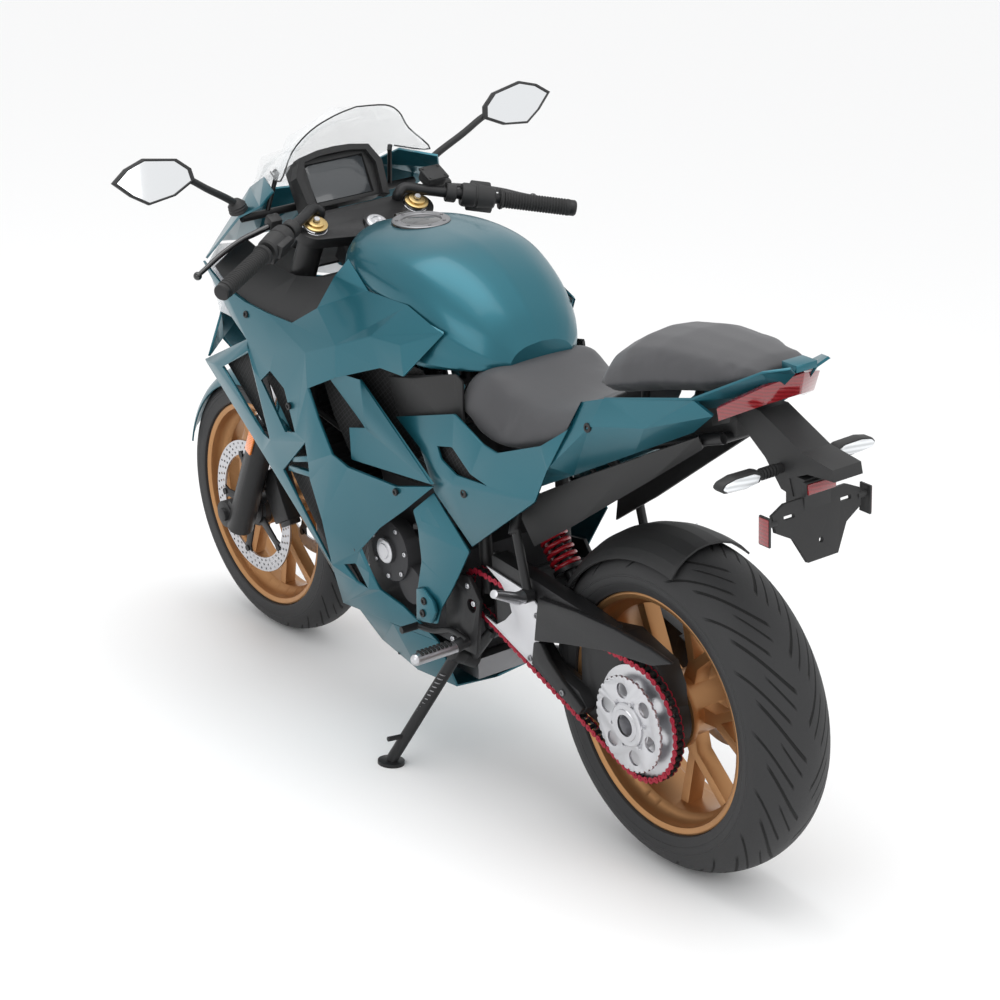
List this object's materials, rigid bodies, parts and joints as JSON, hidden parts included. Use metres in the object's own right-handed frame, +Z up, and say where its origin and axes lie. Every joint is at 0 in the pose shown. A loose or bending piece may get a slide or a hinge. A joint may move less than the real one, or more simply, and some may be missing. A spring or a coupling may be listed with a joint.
{
  "type": "sport motorcycle",
  "caption": "Fully faired sport motorcycle with turning wheels, steered fork, folding side stand and hinged fuel cap, parked on its stand.",
  "frame": {"origin": "centre of the parked motorcycle's box, on the ground", "axes": "+X to the front of the motorcycle, +Y to the rider's left, +Z up; the motorcycle leans 7 degrees to +Y on its side stand"},
  "size_m": [2.108, 1.0482, 1.2557],
  "materials": {
    "main_frame": "satin black",
    "engine": "dark cast",
    "radiator": "black fins",
    "exhaust": "dull steel",
    "fuel_tank": "satin metallic teal",
    "fuel_cap": "black and grey",
    "side_covers": "matte black",
    "rider_seat": "matte grey-black vinyl",
    "pillion_seat": "matte grey-black vinyl",
    "tail_cowl": "satin metallic teal",
    "tail_light": "clear red",
    "undertail": "matte black",
    "plate_holder": "matte black",
    "rear_indicators": "clear lens in black housing",
    "upper_cowl": "satin metallic teal",
    "headlights": "clear lens",
    "windscreen": "clear",
    "instrument_panel": "matte black, grey screen",
    "inner_panels": "matte black",
    "side_fairings": "satin metallic teal",
    "scoop_blades": "satin metallic teal",
    "belly_pan": "satin metallic teal",
    "frame_covers": "satin metallic teal",
    "side_panels": "satin metallic teal",
    "mirrors": "matte black with silvered glass",
    "rearsets": "satin black",
    "passenger_pegs": "black arms, bare pegs",
    "swingarm": "satin black",
    "swingarm_guard": "brushed pale",
    "shock_absorber": "red spring",
    "rear_hugger": "matte black",
    "drive_chain": "red plates",
    "rear_caliper": "satin black",
    "rear_tyre": "rubber",
    "rear_rim": "satin bronze",
    "rear_sprocket": "machined",
    "rear_brake_disc": "drilled",
    "fork_yokes": "satin black",
    "fork_tubes": "hard chrome",
    "fork_legs": "satin black",
    "front_fender": "satin metallic teal",
    "handlebars": "satin black",
    "bar_controls": "matte black",
    "front_calipers": "satin black",
    "front_tyre": "rubber",
    "front_rim": "satin bronze",
    "front_brake_discs": "drilled",
    "side_stand": "satin black"
  },
  "bodies": {
    "chassis": {"main_frame": "main_frame", "engine": "engine", "radiator": "radiator", "exhaust": "exhaust", "fuel_tank": "fuel_tank", "side_covers": "side_covers", "rider_seat": "rider_seat", "pillion_seat": "pillion_seat", "tail_cowl": "tail_cowl", "tail_light": "tail_light", "undertail": "undertail", "plate_holder": "plate_holder", "rear_indicators": "rear_indicators", "upper_cowl": "upper_cowl", "headlights": "headlights", "windscreen": "windscreen", "instrument_panel": "instrument_panel", "inner_panels": "inner_panels", "side_fairings": "side_fairings", "scoop_blades": "scoop_blades", "belly_pan": "belly_pan", "frame_covers": "frame_covers", "side_panels": "side_panels", "mirrors": "mirrors", "rearsets": "rearsets", "passenger_pegs": "passenger_pegs", "swingarm": "swingarm", "swingarm_guard": "swingarm_guard", "shock_absorber": "shock_absorber", "rear_hugger": "rear_hugger", "drive_chain": "drive_chain", "rear_caliper": "rear_caliper"},
    "steering": {"fork_yokes": "fork_yokes", "fork_tubes": "fork_tubes", "fork_legs": "fork_legs", "front_fender": "front_fender", "handlebars": "handlebars", "bar_controls": "bar_controls", "front_calipers": "front_calipers"},
    "front_wheel": {"front_tyre": "front_tyre", "front_rim": "front_rim", "front_brake_discs": "front_brake_discs"},
    "rear_wheel": {"rear_tyre": "rear_tyre", "rear_rim": "rear_rim", "rear_sprocket": "rear_sprocket", "rear_brake_disc": "rear_brake_disc"},
    "stand": {"side_stand": "side_stand"},
    "cap": {"fuel_cap": "fuel_cap"}
  },
  "joints": [
    {"name": "steering_head", "type": "hinge", "parent": "chassis", "child": "steering", "pos_m": [0.33063, -0.01854, 1.02121], "axis": [-0.4462, 0.1091, 0.8883], "range_deg": [-13, 13]},
    {"name": "front_axle", "type": "hinge", "parent": "steering", "child": "front_wheel", "pos_m": [0.756, -0.10749, 0.29676], "axis": [0, 0.9925, -0.1219], "continuous": true},
    {"name": "rear_axle", "type": "hinge", "parent": "chassis", "child": "rear_wheel", "pos_m": [-0.644, -0.10456, 0.32058], "axis": [0, 0.9925, -0.1219], "continuous": true},
    {"name": "stand_pivot", "type": "hinge", "parent": "chassis", "child": "stand", "pos_m": [-0.074, 0.00403, 0.23672], "axis": [0.0722, 0.9021, 0.4254], "range_deg": [0, 84]},
    {"name": "cap_hinge", "type": "hinge", "parent": "chassis", "child": "cap", "pos_m": [0.225, -0.01438, 1.05506], "axis": [0, 0.9925, -0.1219], "range_deg": [0, 95]}
  ]
}
